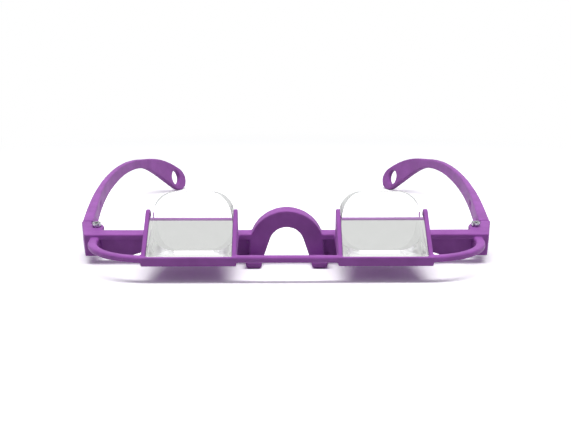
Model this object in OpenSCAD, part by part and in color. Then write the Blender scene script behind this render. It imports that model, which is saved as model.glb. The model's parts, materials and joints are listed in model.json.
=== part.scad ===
// Belay glasses: a printed frame that carries two glass prisms in open trays, and two
// folding temples. Looking straight ahead into the prisms shows what is overhead.
// Every piece is drawn level, as worn: x runs across, y to the rear and z up, from the
// middle of the rail's front face at the level of the rail's underside. stand() then
// tips the whole and sets it down on its two feet and its temple tips.
// All lengths are in millimetres and all angles in degrees.

/* [Rail] */
// Half width of the front, out to the end pieces
half_span = 71.6; // [68:0.1:76]
// Height of the rail
rail_h = 9.4; // [9:0.1:11]
// Depth of the rail's top flange
rail_d = 5.3; // [5:0.1:6]
// Thickness of the top flange
flange_t = 2; // [1.6:0.1:2.6]
// Thickness of the upright web under the flange
web_t = 2; // [1.5:0.1:2.6]
// Height of the web's underside where the web ends at a tray's outer side
web_end_h = 2.9; // [1:0.1:4.5]
// Length over which that underside comes down from there
web_fall_l = 7.3; // [4:0.1:9]

/* [Nose bridge] */
// Radius of the opening over the nose
nose_r = 6.1; // [5:0.1:7]
// Height of that radius's centre above the rail's underside
nose_z = 5.95; // [5:0.05:7]
// Slope of the opening's sides from upright
nose_flare = 18.5; // [10:0.5:24]
// Radius of the bridge's outer arch
arch_r = 13.2; // [12:0.1:14.5]
// Height of the outer arch's centre above the rail's underside
arch_z = 5; // [4:0.1:6]
// Depth of the bridge
bridge_d = 5; // [4:0.1:6]

/* [Feet] */
// Distance between the middles of the two feet
foot_spacing = 23; // [21:0.1:25]
// Width of a foot
foot_w = 5.6; // [4:0.1:7]
// Radius of a foot's rounded end
foot_r = 1.5; // [1.2:0.1:2.2]
// Reach of a foot's rounded end ahead of the rail's front face
foot_reach = 8; // [6:0.1:10]
// Reach of a foot below the rail
foot_drop = 0.6; // [0.2:0.1:2]
// Thickness of a foot where it leaves the bridge
foot_t = 2; // [1.5:0.1:3]

/* [Prisms] */
// Distance between the middles of the two prisms
pupil_distance = 65.4; // [62:0.1:70]
// Width of a prism
prism_w = 28.4; // [25:0.1:30]
// Depth of a prism's base
prism_d = 26.7; // [24:0.1:30]
// Rise of a prism's sloped face
prism_angle = 30; // [26:0.5:34]
// Height of a prism's back, which ends in a narrow flat top
prism_h = 15.1; // [13:0.1:16]
// Radius of a prism's upper corners, seen from in front
prism_round = 7.7; // [6:0.1:12]
// Height of the blunt front edge
prism_edge = 0.5; // [0.2:0.1:1]
// Thickness of the mirror backing under a prism
mirror_t = 0.25; // [0.15:0.05:0.5]

/* [Trays] */
// Distance from a prism's back face to the rail's front face
prism_set = 2.5; // [1:0.1:4]
// Thickness of a tray's floor
floor_t = 1.55; // [1:0.05:2]
// Thickness of a tray's side plates
cheek_t = 1.5; // [1.2:0.05:2.4]
// Length of a side plate up the slope
cheek_len = 22.5; // [14:0.5:24]
// Height of a side plate above the sloped glass
cheek_rise = 0.6; // [0.2:0.1:2]
// Radius of a side plate's upper end
cheek_r = 2.6; // [1.5:0.1:4]
// Thickness of the lip in front of a prism
lip_t = 1.2; // [0.8:0.1:2]
// Height of that lip above the floor
lip_h = 1.7; // [1:0.1:2.5]
// Thickness of the low lip behind a prism
back_lip_t = 0.7; // [0.5:0.1:1]
// Height of that lip above the floor
back_lip_h = 0.7; // [0.6:0.05:1.2]
// Clearance between a prism and its tray
glass_gap = 0.1; // [0.05:0.05:0.3]

/* [Bumper rod] */
// Width of the rod
rod_w = 3.2; // [2.4:0.1:3.6]
// Height of the rod
rod_h = 2.2; // [1.8:0.1:2.6]
// Radius of the rod's rounded edges
rod_round = 0.8; // [0.4:0.1:0.9]
// Distance that the rod's bends run in past the trays' outer side plates
rod_bend_in = 2.25; // [1:0.05:2.5]
// Height of the rod's middle at the end pieces
rod_z = 7.15; // [5:0.05:7.5]
// Height of the rod's middle at the trays, above the trays' floor
rod_over_floor = 0.6; // [0.1:0.05:0.8]
// Distance of the rod's middle in from the end pieces' outer face
rod_inset = 3.6; // [2.4:0.1:4]

/* [Hinges] */
// Width of an end piece's front face
end_w = 5.2; // [5:0.1:7]
// Depth of an end piece, front to back
end_d = 14.3; // [13:0.1:17]
// Height of an end piece's underside above the rail's underside
end_low = 1.2; // [0:0.1:2]
// Distance the end piece's outer face moves outwards over its depth
end_flare = 3.4; // [1:0.1:4.5]
// Distance of a hinge's axis in from the end piece's outer front edge
hinge_inset = 3.1; // [2.6:0.1:4]
// Distance of a hinge's axis behind the rail's front face
hinge_y = 8.6; // [8.5:0.1:10]
// Radius of a hinge's ears
ear_r = 2.6; // [2.5:0.1:3.2]
// Thickness of the upper ear
ear_top_t = 2.2; // [2:0.1:3]
// Thickness of the lower ear
ear_low_t = 2.4; // [2.2:0.1:3.4]
// Radius of the temple's knuckle
knuckle_r = 2.4; // [2.3:0.1:2.9]
// Gap between the knuckle and its neighbours
hinge_gap = 0.15; // [0.1:0.05:0.3]
// Gap between the open temple and the end piece that stops it
stop_gap = 0.25; // [0.15:0.05:0.5]

/* [Hinge hardware] */
// Diameter of the screw's shank
screw_d = 1.6; // [1.4:0.1:2]
// Radial clearance of the shank in the knuckle and the ears
screw_gap = 0.05; // [0.02:0.01:0.1]
// Diameter of the screw's head
head_d = 3; // [2.6:0.1:3.8]
// Height of the screw's head
head_h = 1.6; // [0.9:0.1:1.8]
// Depth that the head is sunk into the upper ear
head_sink = 0.2; // [0.1:0.1:0.8]
// Width of the nut across its flats
nut_flats = 3.2; // [2.8:0.1:3.6]
// Thickness of the nut
nut_t = 1.3; // [1:0.1:1.8]
// Depth that the nut is sunk into the lower ear
nut_sink = 0.2; // [0.1:0.1:0.6]
// Thickness of the washer under the knuckle
washer_t = 0.3; // [0.2:0.1:0.5]
// Outer diameter of the washer
washer_d = 3.8; // [3.2:0.1:4.4]

/* [Temples] */
// Height of a temple at its root
root_h = 8.2; // [7.5:0.1:9]
// Thickness of a temple at its root
root_t = 4; // [3:0.1:4.4]
// Thickness of a temple over its rear half
arm_t = 2.4; // [1.8:0.1:3.2]
// Distance behind the root over which a temple thins down to that
thin_len = 52; // [30:1:80]
// Height of a temple at its waist
waist_h = 4.2; // [3:0.1:5.5]
// Radius of a temple's rounded tip
tip_r = 5.7; // [4.8:0.1:6.2]
// Length of a temple, taken level, from its root to the middle of its tip
arm_len = 135; // [125:0.5:145]
// Slope of a temple down from level at its root
arm_drop = 1.4; // [1:0.1:4]
// Drop of a temple's tip through the ear bend
hook_drop = 20.2; // [16:0.1:24]
// Power of the ear bend: a higher one makes it start later
hook_pow = 6.5; // [4:0.1:8]
// Outward slope of a temple at its root
arm_flare = 5; // [2:0.1:6]
// Distance that a temple's tip moves in through the inward curve
curl_in = 37.4; // [30:0.1:42]
// Power of the inward curve: a higher one makes it start later
curl_pow = 2.6; // [2:0.05:3.2]
// Lean of the inward curve's axis back from upright
curl_lean = 34.8; // [25:0.1:40]
// Diameter of the cord hole
hole_d = 7; // [5:0.1:7.5]
// Distance, taken level, of the cord hole's middle from the tip's middle
hole_back = 0.6; // [-1:0.1:3]
// Length of the shallow slot in a temple's inner face
slot_l = 7; // [4:0.5:10]
// Height of that slot
slot_h = 2.2; // [1:0.1:3]
// Depth of that slot
slot_d = 0.8; // [0.4:0.1:1]
// Distance of that slot's middle behind the temple's root
slot_back = 31; // [20:0.5:40]

/* [Hidden] */

purple = "#8a3fae";
glass = "#dfe9ea";
silver = "#c9ccd2";
steel = "#9a9da3";

// Smallest cut that runs clear through a face
over = 1;
// Segments of every true circle
round_fn = 96;
// Steps of each outline that follows a formula
arm_steps = 48;

// Trays
prism_x = pupil_distance / 2;
prism_back = prism_set;
prism_front = prism_back - prism_d;
floor_z = rail_h;
glass_z = floor_z + mirror_t;
tray_in = prism_w / 2 + glass_gap;
tray_out = tray_in + cheek_t;
lip_front = prism_front - glass_gap - lip_t;
lip_top = floor_z + lip_h;
tray_back = prism_back + glass_gap + back_lip_t;

// Rod: its plane rises towards the trays, and its middle runs along the trays' fronts
rod_x = half_span - rod_inset;
rod_front = lip_front + rod_w / 2;
rod_rise = floor_z + rod_over_floor - rod_z;
rod_slope = atan(rod_rise / -rod_front);
rod_reach = -rod_front / cos(rod_slope);
rod_bend = min(rod_reach, rod_x - prism_x - tray_out + rod_bend_in);
rod_tray_x = rod_x - rod_bend;

// Hinges
hinge_x = half_span - hinge_inset;
outer_x = half_span + end_flare;
slot_low = end_low + ear_low_t;
slot_top = rail_h - ear_top_t;
knuckle_low = slot_low + washer_t + hinge_gap;
knuckle_top = slot_top - hinge_gap;
head_seat = rail_h - head_sink;
nut_seat = end_low + nut_sink;
nut_top = nut_seat + nut_t;
wall_t = outer_x - hinge_x - ear_r;
wall_in = outer_x - wall_t;
arm_y = end_d + stop_gap;
bore_r = screw_d / 2 + screw_gap;

// Temple's middle line in side view, s millimetres behind the root: it sets off with its
// slope, and the ear bend sets in as a power of the distance
arm_z = rail_h - root_h / 2;
function arm_at(s) =
    [arm_y + s, arm_z - s * tan(arm_drop) - hook_drop * pow(s / arm_len, hook_pow)];
function arm_pitch(s) =
    atan(tan(arm_drop) + hook_drop * hook_pow / arm_len * pow(s / arm_len, hook_pow - 1));

// Temple's half height: full at the root, slim at the waist, wide at the tip
taper_start = 0.1 * arm_len;
waist_s = 0.79 * arm_len;
function ease(x) = let(c = min(1, max(0, x))) c * c * (3 - 2 * c);
function arm_half(s) = waist_h / 2
    + (root_h - waist_h) / 2 * (1 - ease((s - taper_start) / (waist_s - taper_start)))
    + (tip_r - waist_h / 2) * ease((s - waist_s) / (arm_len - waist_s));
function arm_edge(s, side) = let(p = arm_at(s), a = arm_pitch(s), h = side * arm_half(s))
    [p[0] + h * sin(a), p[1] + h * cos(a)];

// Temple's plan, in the plane square to the curl's leaning axis, s millimetres back along
// that plane: the outer face sets off with its flare and curls in as a power of the
// distance, and the inner face lies inside it
function lean_v(p) = p[0] * cos(curl_lean) - p[1] * sin(curl_lean);
function lean_w(p) = p[0] * sin(curl_lean) + p[1] * cos(curl_lean);
plan_v = lean_v([arm_y, arm_z]);
plan_lead = 8;
plan_len = arm_len + 20;
function plan_turn(s) =
    atan(curl_in * curl_pow / arm_len * pow(max(0, s) / arm_len, curl_pow - 1) - tan(arm_flare));
function plan_out(s) =
    [outer_x + s * tan(arm_flare) - curl_in * pow(max(0, s) / arm_len, curl_pow), plan_v + s];
function plan_t(s) = root_t + (arm_t - root_t) * ease(s / thin_len);
function plan_in(s) = plan_out(s) - plan_t(s) * [cos(plan_turn(s)), sin(plan_turn(s))];

// Tip and cord hole
tip = arm_at(arm_len);
hole = arm_at(arm_len - hole_back);
hole_s = lean_v(hole) - plan_v;

// Stance: the table touches the round feet and the round temple tips
foot_y = foot_r - foot_reach;
foot_z = foot_r - foot_drop;
stance = [tip[0] - foot_y, tip[1] - foot_z];
tilt = atan2(-stance[1], stance[0]) + asin((tip_r - foot_r) / norm(stance));
lift = foot_r - foot_y * sin(tilt) - foot_z * cos(tilt);
rear_end = tip[0] * cos(tilt) - tip[1] * sin(tilt) + tip_r;
lip_end = lip_front * cos(tilt) - lip_top * sin(tilt);
rod_end = (rod_front - rod_w / 2) * cos(tilt) - (floor_z + rod_over_floor) * sin(tilt);
front_end = min(lip_end, rod_end);

module stand() {
    translate([0, -(rear_end + front_end) / 2, lift]) rotate([tilt, 0, 0]) children();
}

module both_sides() {
    children();
    mirror([1, 0, 0]) children();
}

// Extrudes an outline drawn in y and z across x, from x1 to x2
module across(x1, x2) {
    translate([x1, 0, 0]) rotate([90, 0, 90]) linear_extrude(x2 - x1) children();
}

// Extrudes an outline drawn in x and z front to back, from y1 to y2
module along(y1, y2) {
    translate([0, y2, 0]) rotate([90, 0, 0]) linear_extrude(y2 - y1) children();
}

// Extrudes an outline drawn in plan upwards, from z1 to z2
module upward(z1, z2) {
    translate([0, 0, z1]) linear_extrude(z2 - z1) children();
}

// The web fills the rail between the trays and outside them, never behind them
module web_outline() {
    inner = prism_x - tray_in;
    outer = prism_x + tray_in;
    square([inner, rail_h]);
    polygon([[outer, web_end_h], [outer + cheek_t + web_fall_l, 0], [hinge_x, end_low],
             [hinge_x, rail_h], [outer, rail_h]]);
}

// Behind a prism the rail ends at the low lip, which alone shows through the glass
module rail() {
    difference() {
        translate([-hinge_x, 0, rail_h - flange_t]) cube([2 * hinge_x, rail_d, flange_t]);
        both_sides() translate([prism_x - tray_in, tray_back, 0]) cube([2 * tray_in, rail_d, 2 * rail_h]);
    }
    along(rail_d - web_t, rail_d) {
        web_outline();
        mirror([1, 0]) web_outline();
    }
}

module bridge() {
    along(0, bridge_d) {
        intersection() {
            translate([0, arch_z]) circle(arch_r, $fn = round_fn);
            translate([-arch_r, arch_z]) square([2 * arch_r, arch_r]);
        }
        translate([-arch_r, 0]) square([2 * arch_r, arch_z]);
    }
}

module nose_opening() {
    touch_x = nose_r * cos(nose_flare);
    touch_z = nose_z + nose_r * sin(nose_flare);
    low_z = -foot_drop - over;
    low_x = touch_x + (touch_z - low_z) * tan(nose_flare);
    along(-foot_reach - over, rail_d + over) {
        translate([0, nose_z]) circle(nose_r, $fn = round_fn);
        polygon([[-touch_x, touch_z], [-low_x, low_z], [low_x, low_z], [touch_x, touch_z]]);
    }
}

// A foot reaches forwards from the bridge and ends in a round toe; its lower edges are round
module foot() {
    x1 = (foot_spacing - foot_w) / 2;
    root_z = foot_t - foot_drop;
    edge_r = 0.7 * foot_t;
    intersection() {
        across(x1, x1 + foot_w) {
            translate([foot_y, foot_z]) circle(foot_r, $fn = round_fn);
            polygon([[foot_y, -foot_drop], [bridge_d, -foot_drop], [bridge_d, 0],
                     [0, root_z], [foot_y, foot_z + foot_r]]);
        }
        along(-foot_reach - over, bridge_d + over) {
            for (x = [x1 + edge_r, x1 + foot_w - edge_r])
                translate([x, edge_r - foot_drop]) circle(edge_r, $fn = round_fn);
            translate([x1 + edge_r, -foot_drop]) square([foot_w - 2 * edge_r, edge_r]);
            translate([x1, edge_r - foot_drop]) square([foot_w, 2 * foot_r]);
        }
    }
}

// A side plate stands a little proud of the sloped glass and ends in a round corner
module cheek_outline() {
    up = [cos(prism_angle), sin(prism_angle)];
    square_up = [-sin(prism_angle), cos(prism_angle)];
    toe = [prism_front, glass_z + prism_edge];
    low = toe + cheek_rise * square_up;
    high = low + (cheek_len - cheek_r) * up;
    heel = high - cheek_r * square_up;
    polygon([[lip_front, floor_z - floor_t], [lip_front, lip_top],
             [low[0] + (lip_top - low[1]) / tan(prism_angle), lip_top],
             high, heel + [cheek_r, 0], [heel[0] + cheek_r, floor_z], [rail_d, floor_z],
             [rail_d, floor_z - floor_t]]);
    translate(heel) circle(cheek_r, $fn = round_fn);
}

module tray() {
    translate([prism_x - tray_out, lip_front, floor_z - floor_t])
        cube([2 * tray_out, tray_back - lip_front, floor_t]);
    translate([prism_x - tray_out, lip_front, floor_z - floor_t])
        cube([2 * tray_out, lip_t, floor_t + lip_h]);
    translate([prism_x - tray_in, tray_back - back_lip_t, floor_z])
        cube([2 * tray_in, back_lip_t, back_lip_h]);
    across(prism_x - tray_out, prism_x - tray_in) cheek_outline();
    across(prism_x + tray_in, prism_x + tray_out) cheek_outline();
}

// The room of a prism and its backing, which nothing else may enter
module prism_room() {
    translate([prism_x - tray_in, prism_front - glass_gap, floor_z])
        cube([2 * tray_in, prism_d + 2 * glass_gap, prism_d]);
}

module rod_section() {
    flat = [rod_w / 2 - rod_round, rod_h / 2 - rod_round];
    for (x = [-flat[0], flat[0]], z = [-flat[1], flat[1]])
        translate([x, z]) circle(rod_round, $fn = round_fn);
    square([2 * flat[0], rod_h], center = true);
    square([rod_w, 2 * flat[1]], center = true);
}

// The rod leaves an end piece forwards, bends inwards and runs along the trays' fronts
module rod() {
    straight = rod_reach - rod_bend;
    translate([0, 0, rod_z]) rotate([-rod_slope, 0, 0]) {
        both_sides() {
            translate([rod_x, 0, 0]) along(-straight, over) rod_section();
            translate([rod_tray_x, -straight, 0]) rotate([0, 0, -90])
                rotate_extrude(angle = 90, $fn = round_fn)
                    translate([rod_bend, 0]) rod_section();
            if (rod_tray_x > prism_x + tray_in)
                translate([0, -rod_reach, 0]) across(prism_x + tray_in, rod_tray_x) rod_section();
        }
        translate([0, -rod_reach, 0]) across(tray_in - prism_x, prism_x - tray_in) rod_section();
    }
}

module end_plan() {
    polygon([[half_span - end_w, 0], [half_span, 0], [outer_x, end_d], [wall_in, end_d],
             [wall_in, hinge_y + ear_r], [hinge_x, hinge_y + ear_r], [hinge_x, hinge_y],
             [hinge_x - ear_r, hinge_y]]);
    translate([hinge_x, hinge_y]) circle(ear_r, $fn = round_fn);
}

// Everything cut from an end piece for its hinge: the slot for the knuckle, the screw's
// hole, the seat of its head and the pocket of its nut
module hinge_cuts() {
    slot_r = knuckle_r + stop_gap;
    upward(slot_low, slot_top) {
        translate([hinge_x, hinge_y]) circle(slot_r, $fn = round_fn);
        translate([hinge_x - ear_r - over, hinge_y]) square([wall_in - hinge_x + ear_r + over, end_d]);
        translate([hinge_x - ear_r - over, hinge_y - slot_r]) square([ear_r + over, 2 * slot_r]);
    }
    translate([hinge_x, hinge_y, -over]) cylinder(rail_h + 2 * over, r = bore_r, $fn = round_fn);
    translate([hinge_x, hinge_y, head_seat]) cylinder(head_sink + over, d = head_d + 0.2, $fn = round_fn);
    translate([hinge_x, hinge_y, end_low - over])
        cylinder(nut_top - end_low + over, d = (nut_flats + 0.1) / cos(30), $fn = 6);
}

module front_frame() {
    color(purple) stand() difference() {
        union() {
            rail();
            bridge();
            rod();
            both_sides() {
                foot();
                tray();
                upward(end_low, rail_h) end_plan();
            }
        }
        nose_opening();
        both_sides() {
            prism_room();
            hinge_cuts();
        }
    }
}

// The root's face is upright, level with the end piece that stops it
module arm_side() {
    half = root_h / 2 / cos(arm_drop);
    top = [for (i = [1 : arm_steps]) arm_edge(arm_len * i / arm_steps, 1)];
    low = [for (i = [arm_steps : -1 : 1]) arm_edge(arm_len * i / arm_steps, -1)];
    polygon(concat([[arm_y, arm_z + half]], top, low, [[arm_y, arm_z - half]]));
    translate(tip) circle(tip_r, $fn = round_fn);
}

module arm_plan() {
    span = plan_len + plan_lead;
    out = [for (i = [0 : arm_steps]) plan_out(span * i / arm_steps - plan_lead)];
    inn = [for (i = [arm_steps : -1 : 0]) plan_in(span * i / arm_steps - plan_lead)];
    polygon(concat(out, inn));
}

// The knuckle, and the tongue and rib that carry it on the temple's inner face
module arm_knuckle() {
    rib_end = arm_y + 2.6 * root_t;
    upward(knuckle_low, knuckle_top) {
        translate([hinge_x, hinge_y]) circle(knuckle_r, $fn = round_fn);
        polygon([[hinge_x - knuckle_r, hinge_y], [hinge_x + knuckle_r, hinge_y],
                 [wall_in - stop_gap, arm_y], [outer_x - root_t / 2, arm_y],
                 [outer_x - root_t / 2, rib_end], [outer_x - root_t + 0.6, rib_end],
                 [hinge_x - knuckle_r + 1.2, arm_y + 1.2]]);
    }
}

// The slot lies level with the temple's middle line, in its inner face
module arm_slot() {
    at = arm_at(slot_back);
    at_s = lean_v(at) - plan_v;
    translate([plan_in(at_s)[0] + slot_d, at[0], at[1]]) rotate([-arm_drop, 0, plan_turn(at_s)])
        translate([-4 * slot_d, -slot_l / 2, -slot_h / 2]) cube([4 * slot_d, slot_l, slot_h]);
}

module temple() {
    difference() {
        union() {
            intersection() {
                across(0, outer_x + 20) arm_side();
                rotate([-curl_lean, 0, 0]) linear_extrude(4 * arm_len, center = true) arm_plan();
            }
            arm_knuckle();
        }
        translate([hinge_x, hinge_y, 0]) cylinder(rail_h, r = bore_r, $fn = round_fn);
        arm_slot();
        rotate([-curl_lean, 0, 0]) translate([plan_out(hole_s)[0], lean_v(hole), lean_w(hole)])
            rotate([0, 90, plan_turn(hole_s)])
                cylinder(6 * arm_t, d = hole_d, center = true, $fn = round_fn);
    }
}

// A prism seen from in front: upright sides and two round upper corners
module prism_outline() {
    flat = prism_w / 2 - prism_round;
    translate([-prism_w / 2, glass_z]) square([prism_w, prism_h - prism_round]);
    translate([-flat, glass_z]) square([2 * flat, prism_h]);
    for (x = [-flat, flat])
        translate([x, glass_z + prism_h - prism_round]) circle(prism_round, $fn = round_fn);
}

module prism() {
    translate([prism_x, 0, 0]) intersection() {
        across(-prism_w / 2, prism_w / 2) polygon([
            [prism_front, glass_z], [prism_back, glass_z],
            [prism_back, glass_z + prism_edge + prism_d * tan(prism_angle)],
            [prism_front, glass_z + prism_edge]]);
        along(prism_front, prism_back) prism_outline();
    }
}

module mirror_backing() {
    translate([prism_x - prism_w / 2, prism_front, floor_z]) cube([prism_w, prism_d, mirror_t]);
}

module hinge_screw() {
    translate([hinge_x, hinge_y, 0]) difference() {
        union() {
            translate([0, 0, nut_seat]) cylinder(head_seat - nut_seat, d = screw_d, $fn = round_fn);
            translate([0, 0, head_seat]) cylinder(head_h, d = head_d, $fn = round_fn);
        }
        for (turn = [0, 90]) translate([0, 0, head_seat + head_h]) rotate([0, 0, turn + 20])
            cube([0.6 * head_d, 0.5, head_h], center = true);
    }
}

module hinge_nut() {
    translate([hinge_x, hinge_y, nut_seat]) difference() {
        cylinder(nut_t, d = nut_flats / cos(30), $fn = 6);
        translate([0, 0, -over]) cylinder(nut_t + 2 * over, d = screw_d + 0.04, $fn = round_fn);
    }
}

module hinge_washer() {
    translate([hinge_x, hinge_y, slot_low]) difference() {
        cylinder(washer_t, d = washer_d, $fn = round_fn);
        translate([0, 0, -over]) cylinder(washer_t + 2 * over, r = bore_r + 0.05, $fn = round_fn);
    }
}

module left() { stand() mirror([1, 0, 0]) children(); }
module right() { stand() children(); }

module left_temple() { color(purple) left() temple(); }
module right_temple() { color(purple) right() temple(); }
module left_prism() { color(glass) left() prism(); }
module right_prism() { color(glass) right() prism(); }
module left_mirror() { color(silver) left() mirror_backing(); }
module right_mirror() { color(silver) right() mirror_backing(); }
module left_hinge_screw() { color(steel) left() hinge_screw(); }
module right_hinge_screw() { color(steel) right() hinge_screw(); }
module left_hinge_nut() { color(steel) left() hinge_nut(); }
module right_hinge_nut() { color(steel) right() hinge_nut(); }
module left_hinge_washer() { color(silver) left() hinge_washer(); }
module right_hinge_washer() { color(silver) right() hinge_washer(); }

front_frame();
left_temple();
right_temple();
left_prism();
right_prism();
left_mirror();
right_mirror();
left_hinge_screw();
right_hinge_screw();
left_hinge_nut();
right_hinge_nut();
left_hinge_washer();
right_hinge_washer();
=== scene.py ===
import json
import math

import bmesh
import bpy
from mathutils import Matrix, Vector


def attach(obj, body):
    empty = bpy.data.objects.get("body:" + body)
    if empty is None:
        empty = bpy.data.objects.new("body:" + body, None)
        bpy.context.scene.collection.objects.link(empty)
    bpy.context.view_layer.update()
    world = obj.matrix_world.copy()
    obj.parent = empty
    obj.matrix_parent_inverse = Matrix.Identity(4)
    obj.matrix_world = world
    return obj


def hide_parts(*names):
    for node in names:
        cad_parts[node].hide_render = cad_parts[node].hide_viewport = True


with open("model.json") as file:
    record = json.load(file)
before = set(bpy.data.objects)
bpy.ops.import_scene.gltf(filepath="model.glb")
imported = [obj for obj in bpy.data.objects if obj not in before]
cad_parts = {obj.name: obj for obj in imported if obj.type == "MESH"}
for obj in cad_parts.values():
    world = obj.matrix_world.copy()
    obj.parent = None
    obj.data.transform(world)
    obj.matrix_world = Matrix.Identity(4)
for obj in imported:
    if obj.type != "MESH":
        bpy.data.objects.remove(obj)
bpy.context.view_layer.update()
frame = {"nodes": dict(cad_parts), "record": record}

MM = 0.001

# Camera: what it looks at is the middle of the nose bridge
AIM = Vector((0.0, -0.06723, 0.01834))
CAMERA_DISTANCE = 0.351
CAMERA_ELEVATION = 11.49
CAMERA_TURN = -0.47
CAMERA_LENS = 63.05
SENSOR_WIDTH = 36.0
IMAGE_WIDTH = 571
AIM_PIXEL = 286.7
NEAREST_SEEN = 0.01
FARTHEST_SEEN = 50.0

# Light: a softbox overhead, wide across and narrow from front to back
LAMP_HEIGHT = 0.5
LAMP_WIDTH = 0.85
LAMP_DEPTH = 0.18
LAMP_AT = (0.0, -0.09)
LAMP_WATTS = 2.6
SKY_LIGHT = 0.25
# Tint of that light, of which the photograph's shadows have a little
SKY_TINT = (0.96, 0.98, 1.05)
# What glass, metal and gloss see of the room, from level up to overhead: the height of
# the direction and the brightness there
ROOM = ((0.0, 1.0), (0.80, 1.0), (0.855, 0.7), (0.962, 0.7), (0.972, 1.15))
# Light crosses a prism many times before it leaves
GLOSSY_BOUNCES = 16
CLEAR_BOUNCES = 24

# Floor: its shade where it is seen, and where it only throws light back up
FLOOR_SIZE = 12.0
FLOOR_WHITE = 1.62
FLOOR_BOUNCE = 0.43
# Distance from the middle over which the seen floor turns into a plain white backdrop
BACKDROP = (0.16, 0.34)

# Tilt of the front, which stands on its feet and the temples' tips
TILT = math.radians(8.51)
# Depth that the mirror film reaches into the glass
FILM_IN_GLASS = 0.03 * MM

# Bevels: their widths, their steps and the angle from which an edge gets one
PRISM_BEVEL = 0.28 * MM
FILM_BEVEL = 0.05 * MM
SCREW_BEVEL = 0.15 * MM
WASHER_BEVEL = 0.06 * MM
BEVEL_STEPS = 2
BEVEL_ABOVE = 35
# Angle between faces below which they are shaded as one, on metal and on optical pieces
SMOOTH_BELOW = {False: 32, True: 12}
# Vertices closer than this are one
WELD = ("WELD", {"merge_threshold": 0.001 * MM})

# Glass: tint, share of clear light and roughness range of its polished and its ground faces
POLISHED = ((0.975, 0.99, 0.985), 1.0, (0.0, 0.004))
GROUND = ((0.6, 0.615, 0.61), 0.8, (0.25, 0.4))
GLASS_IOR = 1.517
SMEARS = 4 * MM
# Sideways lean of a prism's faces that are ground: its round corners
GROUND_LEAN = (0.05, 0.98)
# Area from which one flat of an optical piece counts as large
LEAST_FLAT = 60 * MM ** 2

# Metals: colour, share of it left where dull, roughness range, streaks and height of dents
METALS = {
    "mirror_backing": ((0.95, 0.95, 0.94), 0.985, (0.0, 0.01), 6 * MM, 0.0001 * MM),
    # The screw's dark colour and low dull share paint dark reflections onto its head, which would
    # otherwise mirror only the white room
    "screw_metal": ((0.55, 0.55, 0.6), 0.35, (0.15, 0.3), 0.9 * MM, 0.01 * MM),
    "nut_metal": ((0.5, 0.51, 0.53), 0.8, (0.25, 0.42), 0.6 * MM, 0.004 * MM),
    "washer_metal": ((0.6, 0.6, 0.62), 0.8, (0.25, 0.4), 0.6 * MM, 0.004 * MM),
}

# Nylon: its colour, and how far the dye's clouds are darker and paler than that
NYLON = (0.39, 0.108, 0.48)
DYE_DARKER = 0.9
DYE_PALER = 1.1
DYE_CLOUDS = 9 * MM
POWDER = 0.35 * MM
POWDER_HEIGHT = 0.02 * MM
WAVES = 2.5 * MM
WAVE_HEIGHT = 0.03 * MM
NYLON_ROUGHNESS = (0.46, 0.66)
# Share of painted highlight on sharp edges, and the range of Blender's pointiness over which it comes
EDGE_HIGHLIGHT = 0.36
EDGE_HIGHLIGHT_POINTINESS = (0.515, 0.6)
NYLON_VOXEL = 0.22 * MM
# Smoothing steps over the surface: a temple's edges are rounder than the front's
FRONT_SMOOTHING = 18
TEMPLE_SMOOTHING = 60
# Share of the smoothed surface's triangles that are kept
NYLON_KEPT = 0.3

# Colour sockets of Blender's Mix node
MIX_FIRST = 6
MIX_SECOND = 7
MIX_RESULT = 2

# The bodies that the record gives each CAD node
BODIES = frame["record"]["behaviour"]["bodies"]


def link(obj):
    bpy.context.scene.collection.objects.link(obj)
    return obj


def new_material(name):
    """A node material with its shader and the object's own coordinates."""
    material = bpy.data.materials.new(name)
    material.use_nodes = True
    nodes = material.node_tree.nodes
    shader = nodes["Principled BSDF"]
    where = nodes.new("ShaderNodeTexCoord").outputs["Object"]
    return material, shader, where


def noise(material, where, size, detail=2.0, roughness=0.5):
    """Noise whose features are about size metres across."""
    node = material.node_tree.nodes.new("ShaderNodeTexNoise")
    node.inputs["Scale"].default_value = 1.0 / size
    node.inputs["Detail"].default_value = detail
    node.inputs["Roughness"].default_value = roughness
    material.node_tree.links.new(where, node.inputs["Vector"])
    return node.outputs["Fac"]


def spread(material, value, low, high, from_low=0.35, from_high=0.65):
    """value moved from its middle range to low..high."""
    node = material.node_tree.nodes.new("ShaderNodeMapRange")
    node.inputs["From Min"].default_value = from_low
    node.inputs["From Max"].default_value = from_high
    node.inputs["To Min"].default_value = low
    node.inputs["To Max"].default_value = high
    material.node_tree.links.new(value, node.inputs["Value"])
    return node.outputs["Result"]


def multiply(material, first, second):
    """The product of two sockets' values."""
    node = material.node_tree.nodes.new("ShaderNodeMath")
    node.operation = "MULTIPLY"
    material.node_tree.links.new(first, node.inputs[0])
    material.node_tree.links.new(second, node.inputs[1])
    return node.outputs[0]


def mix_colours(material, factor, first, second):
    """Blend of two colours, each a triple or a socket, in a material or a world."""
    node = material.node_tree.nodes.new("ShaderNodeMix")
    node.data_type = "RGBA"
    material.node_tree.links.new(factor, node.inputs["Factor"])
    for socket, value in ((node.inputs[MIX_FIRST], first), (node.inputs[MIX_SECOND], second)):
        if isinstance(value, tuple):
            socket.default_value = (*value, 1.0)
        else:
            material.node_tree.links.new(value, socket)
    return node.outputs[MIX_RESULT]


def larger(tree, first, second):
    """The larger of two sockets' values."""
    node = tree.nodes.new("ShaderNodeMath")
    node.operation = "MAXIMUM"
    tree.links.new(first, node.inputs[0])
    tree.links.new(second, node.inputs[1])
    return node.outputs[0]


def bump(material, shader, height, distance, strength, below=None):
    """Relief of this distance on the shader, over the relief below it if there is one."""
    node = material.node_tree.nodes.new("ShaderNodeBump")
    node.inputs["Distance"].default_value = distance
    node.inputs["Strength"].default_value = strength
    material.node_tree.links.new(height, node.inputs["Height"])
    if below is not None:
        material.node_tree.links.new(below, node.inputs["Normal"])
    material.node_tree.links.new(node.outputs["Normal"], shader.inputs["Normal"])
    return node.outputs["Normal"]


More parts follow.
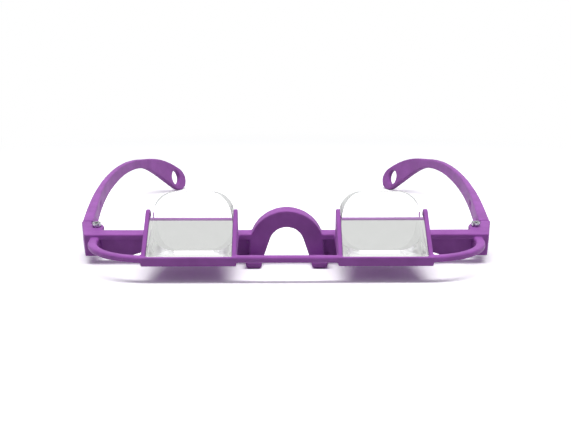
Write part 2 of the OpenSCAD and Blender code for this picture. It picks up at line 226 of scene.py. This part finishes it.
def nylon_material(name):
    """Dyed nylon: a fine powder grain, cloudy dye, and sharp edges painted paler as a highlight."""
    material, shader, where = new_material(name)
    links = material.node_tree.links
    powder = noise(material, where, POWDER, 3.0, 0.6)
    dye = noise(material, where, DYE_CLOUDS, 3.0, 0.55)
    deep = tuple(DYE_DARKER * c for c in NYLON)
    pale = tuple(DYE_PALER * c + 0.006 for c in NYLON)
    cloudy = mix_colours(material, spread(material, dye, 0.0, 1.0), deep, pale)
    # Pale colour of the powder's specks, also used for the painted highlight on sharp edges
    pale_powder_and_highlight = tuple(0.62 * c + 0.2 for c in NYLON)
    speckles = spread(material, powder, 0.0, 0.1, 0.55, 0.8)
    speckled = mix_colours(material, speckles, cloudy, pale_powder_and_highlight)
    # Painted highlight: sharp edges turn paler, in patches that follow the dye's clouds
    pointiness = material.node_tree.nodes.new("ShaderNodeNewGeometry").outputs["Pointiness"]
    edges = spread(material, pointiness, 0.0, EDGE_HIGHLIGHT, *EDGE_HIGHLIGHT_POINTINESS)
    painted_edge_highlight = multiply(material, edges, spread(material, dye, 0.4, 1.0))
    links.new(mix_colours(material, painted_edge_highlight, speckled, pale_powder_and_highlight), shader.inputs["Base Color"])
    links.new(spread(material, powder, *NYLON_ROUGHNESS), shader.inputs["Roughness"])
    shader.inputs["Specular IOR Level"].default_value = 0.4
    shader.inputs["IOR"].default_value = 1.5
    soft = bump(material, shader, noise(material, where, WAVES, 2.0), WAVE_HEIGHT, 0.5)
    bump(material, shader, powder, POWDER_HEIGHT, 0.6, soft)
    return material


def glass_material(name, tint, clear, roughness):
    """Crown glass, polished or finely ground; its surface is a little uneven."""
    material, shader, where = new_material(name)
    uneven = spread(material, noise(material, where, SMEARS, 3.0), *roughness)
    material.node_tree.links.new(uneven, shader.inputs["Roughness"])
    shader.inputs["Base Color"].default_value = (*tint, 1.0)
    shader.inputs["Transmission Weight"].default_value = clear
    shader.inputs["IOR"].default_value = GLASS_IOR
    return material


def metal_material(name):
    """One of the metals, with a fine uneven polish; on the screw the dark patches are painted dark
    reflection.
    """
    colour, dullness, roughness, streaks, dents = METALS[name]
    material, shader, where = new_material(name)
    links = material.node_tree.links
    polish = noise(material, where, streaks, 3.0)
    dull = tuple(dullness * c for c in colour)
    shades = mix_colours(material, spread(material, polish, 0.0, 1.0), dull, colour)
    links.new(shades, shader.inputs["Base Color"])
    links.new(spread(material, polish, *roughness), shader.inputs["Roughness"])
    shader.inputs["Metallic"].default_value = 1.0
    bump(material, shader, polish, dents, 0.3)
    return material


def evaluated_copy(source, name, modifiers):
    """A new mesh object: source's mesh with modifiers worked in."""
    helper = link(bpy.data.objects.new(name + "_helper", source.data.copy()))
    for kind, settings in modifiers:
        modifier = helper.modifiers.new(kind.title(), kind)
        for key, value in settings.items():
            setattr(modifier, key, value)
    bpy.context.view_layer.update()
    shape = helper.evaluated_get(bpy.context.evaluated_depsgraph_get())
    mesh = bpy.data.meshes.new_from_object(shape)
    mesh.name = name
    bpy.data.objects.remove(helper)
    return link(bpy.data.objects.new(name, mesh))


def dress(obj, node, materials):
    """obj stands for the CAD node: it rides on its body and takes the materials given."""
    obj.data.materials.clear()
    for material in materials:
        obj.data.materials.append(material)
    body = next(name for name, members in BODIES.items() if node in members)
    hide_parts(node)
    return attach(obj, body)


def nylon_piece(node, name, material, smoothing):
    """The CAD solid with soft edges and corners."""
    obj = evaluated_copy(frame["nodes"][node], name, [
        WELD,
        ("REMESH", {"mode": "VOXEL", "voxel_size": NYLON_VOXEL, "use_smooth_shade": True}),
        ("SMOOTH", {"factor": 0.5, "iterations": smoothing}),
        ("DECIMATE", {"ratio": NYLON_KEPT}),
    ])
    obj.data.shade_smooth()
    return dress(obj, node, [material])


def keep_flats_flat(mesh):
    """Shades each large flat as flat and the rest smooth, so that a flat mirrors without waves."""
    flats = {}
    for face in mesh.polygons:
        way = tuple(round(c, 2) for c in face.normal)
        flats[way] = flats.get(way, 0.0) + face.area
    for face in mesh.polygons:
        way = tuple(round(c, 2) for c in face.normal)
        face.use_smooth = flats[way] < LEAST_FLAT


def edged_piece(node, name, width, materials, edge_material=0, optical=False):
    """The CAD solid with small bevels; the bevels may have a material of their own."""
    obj = evaluated_copy(frame["nodes"][node], name, [
        WELD,
        ("BEVEL", {"width": width, "segments": BEVEL_STEPS, "limit_method": "ANGLE",
                   "angle_limit": math.radians(BEVEL_ABOVE), "material": edge_material,
                   "use_clamp_overlap": True}),
    ])
    obj.data.shade_smooth()
    obj.data.set_sharp_from_angle(angle=math.radians(SMOOTH_BELOW[optical]))
    if optical:
        keep_flats_flat(obj.data)
    return dress(obj, node, materials)


def prism_piece(node, name, polished, ground):
    """The wedge is polished but for its round corners and its edges, which are ground."""
    obj = edged_piece(node, name, PRISM_BEVEL, [polished, ground], 1, True)
    for face in obj.data.polygons:
        if GROUND_LEAN[0] < abs(face.normal.x) < GROUND_LEAN[1]:
            face.material_index = 1
    return obj


def mirror_piece(node, name, material):
    """The backing's upper face lies just inside the glass, so light in the glass meets it first."""
    obj = edged_piece(node, name, FILM_BEVEL, [material], 0, True)
    up = Vector((0.0, -math.sin(TILT), math.cos(TILT)))
    middle = sum((vertex.co for vertex in obj.data.vertices), Vector()) / len(obj.data.vertices)
    for vertex in obj.data.vertices:
        if (vertex.co - middle).dot(up) > 0:
            vertex.co += FILM_IN_GLASS * up
    return obj


def make_camera():
    """The photograph's camera, in front of the glasses and a little above them."""
    camera = link(bpy.data.objects.new("camera", bpy.data.cameras.new("camera")))
    turn = math.radians(CAMERA_TURN)
    rise = math.radians(CAMERA_ELEVATION)
    level = math.cos(rise)
    back = Vector((math.sin(turn) * level, -math.cos(turn) * level, math.sin(rise)))
    camera.location = AIM + CAMERA_DISTANCE * back
    camera.rotation_euler = (-back).to_track_quat("-Z", "Y").to_euler()
    camera.data.lens = CAMERA_LENS
    camera.data.sensor_width = SENSOR_WIDTH
    camera.data.shift_x = (IMAGE_WIDTH / 2 - AIM_PIXEL) / IMAGE_WIDTH
    camera.data.clip_start = NEAREST_SEEN
    camera.data.clip_end = FARTHEST_SEEN
    bpy.context.scene.camera = camera


def seen_or_lighting(tree):
    """1 where the camera, a gloss or a clear piece looks, 0 where only light is gathered."""
    ray = tree.nodes.new("ShaderNodeLightPath").outputs
    seen = larger(tree, ray["Is Camera Ray"], ray["Is Glossy Ray"])
    return larger(tree, seen, ray["Is Transmission Ray"])


def make_world():
    """White to the camera; to glass and gloss, a bright room with a dimmer band under the ceiling."""
    world = bpy.data.worlds.new("studio")
    world.use_nodes = True
    bpy.context.scene.world = world
    tree = world.node_tree
    direction = tree.nodes.new("ShaderNodeSeparateXYZ")
    looking = tree.nodes.new("ShaderNodeTexCoord").outputs["Generated"]
    tree.links.new(looking, direction.inputs["Vector"])
    room = tree.nodes.new("ShaderNodeValToRGB")
    stops = room.color_ramp.elements
    while len(stops) < len(ROOM):
        stops.new(1.0)
    for stop, (height, brightness) in zip(stops, ROOM):
        stop.position = height
        stop.color = (brightness, brightness, brightness, 1.0)
    tree.links.new(direction.outputs["Z"], room.inputs["Fac"])
    to_camera = tree.nodes.new("ShaderNodeLightPath").outputs["Is Camera Ray"]
    strength = tree.nodes.new("ShaderNodeMapRange")
    strength.inputs["To Min"].default_value = SKY_LIGHT
    brightest = larger(tree, room.outputs["Color"], to_camera)
    tree.links.new(brightest, strength.inputs["To Max"])
    seen = seen_or_lighting(tree)
    tree.links.new(seen, strength.inputs["Value"])
    background = tree.nodes["Background"]
    tree.links.new(strength.outputs["Result"], background.inputs["Strength"])
    tint = mix_colours(world, seen, SKY_TINT, (1.0, 1.0, 1.0))
    tree.links.new(tint, background.inputs["Color"])


def make_lamp():
    """The softbox straight over the front, which doesn't mirror in the glass."""
    data = bpy.data.lights.new("softbox", "AREA")
    data.shape = "RECTANGLE"
    data.size = LAMP_WIDTH
    data.size_y = LAMP_DEPTH
    data.energy = LAMP_WATTS
    lamp = link(bpy.data.objects.new("softbox", data))
    lamp.location = (*LAMP_AT, LAMP_HEIGHT)
    lamp.visible_glossy = False
    lamp.visible_transmission = False


def make_floor():
    """White where it is seen, darker where it only throws light back up."""
    mesh = bpy.data.meshes.new("floor")
    form = bmesh.new()
    bmesh.ops.create_grid(form, x_segments=1, y_segments=1, size=FLOOR_SIZE / 2)
    form.to_mesh(mesh)
    form.free()
    floor = link(bpy.data.objects.new("floor", mesh))
    material = bpy.data.materials.new("floor")
    material.use_nodes = True
    tree = material.node_tree
    tree.nodes.remove(tree.nodes["Principled BSDF"])
    seen = seen_or_lighting(tree)
    shade = tree.nodes.new("ShaderNodeMapRange")
    shade.inputs["To Min"].default_value = FLOOR_BOUNCE
    shade.inputs["To Max"].default_value = FLOOR_WHITE
    tree.links.new(seen, shade.inputs["Value"])
    table = tree.nodes.new("ShaderNodeBsdfDiffuse")
    tree.links.new(shade.outputs["Result"], table.inputs["Color"])
    backdrop = tree.nodes.new("ShaderNodeEmission")
    backdrop.inputs["Color"].default_value = (1.0, 1.0, 1.0, 1.0)
    distance = tree.nodes.new("ShaderNodeVectorMath")
    distance.operation = "LENGTH"
    place = tree.nodes.new("ShaderNodeTexCoord").outputs["Object"]
    tree.links.new(place, distance.inputs[0])
    far = tree.nodes.new("ShaderNodeMapRange")
    far.interpolation_type = "SMOOTHSTEP"
    far.inputs["From Min"].default_value = BACKDROP[0]
    far.inputs["From Max"].default_value = BACKDROP[1]
    tree.links.new(distance.outputs["Value"], far.inputs["Value"])
    tree.links.new(seen, far.inputs["To Max"])
    mix = tree.nodes.new("ShaderNodeMixShader")
    tree.links.new(far.outputs["Result"], mix.inputs["Fac"])
    tree.links.new(table.outputs["BSDF"], mix.inputs[1])
    tree.links.new(backdrop.outputs["Emission"], mix.inputs[2])
    tree.links.new(mix.outputs["Shader"], tree.nodes["Material Output"].inputs["Surface"])
    mesh.materials.append(material)


make_camera()
bpy.context.scene.view_settings.view_transform = "Standard"
bpy.context.scene.cycles.glossy_bounces = GLOSSY_BOUNCES
bpy.context.scene.cycles.transmission_bounces = CLEAR_BOUNCES
bpy.context.scene.cycles.max_bounces = CLEAR_BOUNCES
make_world()
make_lamp()
make_floor()

frame_nylon = nylon_material("frame_nylon")
temple_nylon = nylon_material("temple_nylon")
polished_glass = glass_material("polished_glass", *POLISHED)
ground_glass = glass_material("ground_glass", *GROUND)
backing = metal_material("mirror_backing")
screw_metal = metal_material("screw_metal")
nut_metal = metal_material("nut_metal")
washer_metal = metal_material("washer_metal")

nylon_piece("front_frame", "moulded_front", frame_nylon, FRONT_SMOOTHING)
for side in ("left", "right"):
    nylon_piece(side + "_temple", side + "_temple_arm", temple_nylon, TEMPLE_SMOOTHING)
    prism_piece(side + "_prism", side + "_prism_glass", polished_glass, ground_glass)
    mirror_piece(side + "_mirror", side + "_mirror_film", backing)
    edged_piece(side + "_hinge_screw", side + "_screw", SCREW_BEVEL, [screw_metal])
    edged_piece(side + "_hinge_nut", side + "_nut", SCREW_BEVEL, [nut_metal])
    edged_piece(side + "_hinge_washer", side + "_washer", WASHER_BEVEL, [washer_metal])
